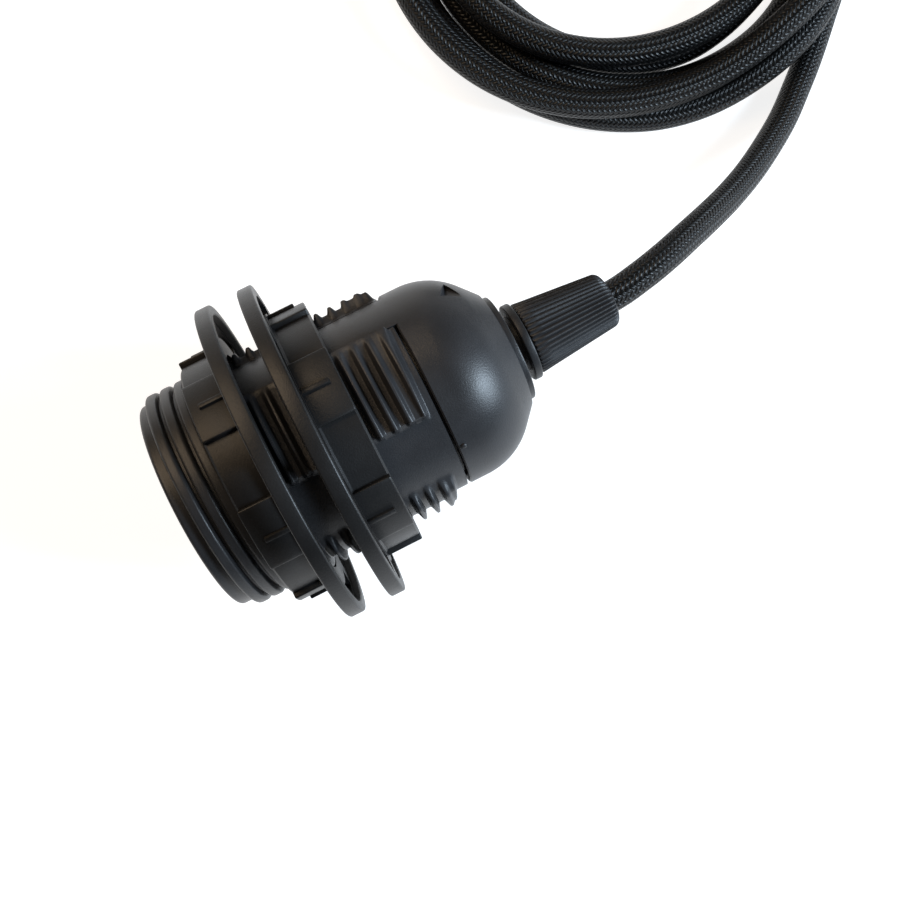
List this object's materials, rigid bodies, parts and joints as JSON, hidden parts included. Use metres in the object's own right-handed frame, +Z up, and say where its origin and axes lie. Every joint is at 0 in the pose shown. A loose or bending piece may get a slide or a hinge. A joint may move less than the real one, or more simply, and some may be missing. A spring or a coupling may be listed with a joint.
{
  "type": "pendant cord set",
  "caption": "Black screw lampholder with shade rings, a domed cap and a fluted cord grip, on a braided cord wound into a coil with stripped core ends.",
  "frame": {"origin": "on the surface that the set lies on, under the middle of the holder's box (the cord and what is on it left out)", "axes": "+X along the holder's axis from its mouth to its cord grip, +Z up from the surface, +Y towards the cord's coil"},
  "size_m": [0.1721, 0.1573, 0.057],
  "materials": {
    "black_shell": "satin black moulded thermoplastic with a fine grain",
    "black_ring": "satin black moulded thermoplastic",
    "black_grip": "satin black nylon",
    "carrier_white": "matt off-white insulator",
    "shell_nickel": "bright nickel-plated sheet",
    "brass": "bright brass",
    "steel": "zinc-plated steel",
    "copper": "bare twisted copper",
    "brown_core": "brown wire insulation",
    "blue_core": "blue wire insulation",
    "black_braid": "tight black textile braid with a slight sheen",
    "black_sleeve": "black shrink sleeve",
    "tie_black": "black plastic tie",
    "ferrule_tin": "tin-plated copper"
  },
  "bodies": {
    "root": {"threaded_skirt": "black_shell", "dome_cap": "black_shell", "front_shade_ring": "black_ring", "rear_shade_ring": "black_ring", "contact_carrier": "carrier_white", "screw_shell": "shell_nickel", "shell_base": "shell_nickel", "centre_contact": "brass", "centre_rivet": "brass", "shell_rivet": "brass", "line_terminal": "brass", "line_terminal_screw": "steel", "line_conductor": "copper", "line_core": "brown_core", "neutral_terminal": "brass", "neutral_terminal_screw": "steel", "neutral_conductor": "copper", "neutral_core": "blue_core", "grip_body": "black_grip", "grip_nut": "black_grip", "cord": "black_braid", "cord_coil": "black_braid", "cord_tail": "black_braid", "coil_tie": "tie_black", "end_sleeve": "black_sleeve", "end_line_core": "brown_core", "end_line_ferrule": "ferrule_tin", "end_neutral_core": "blue_core", "end_neutral_ferrule": "ferrule_tin"}
  },
  "joints": []
}
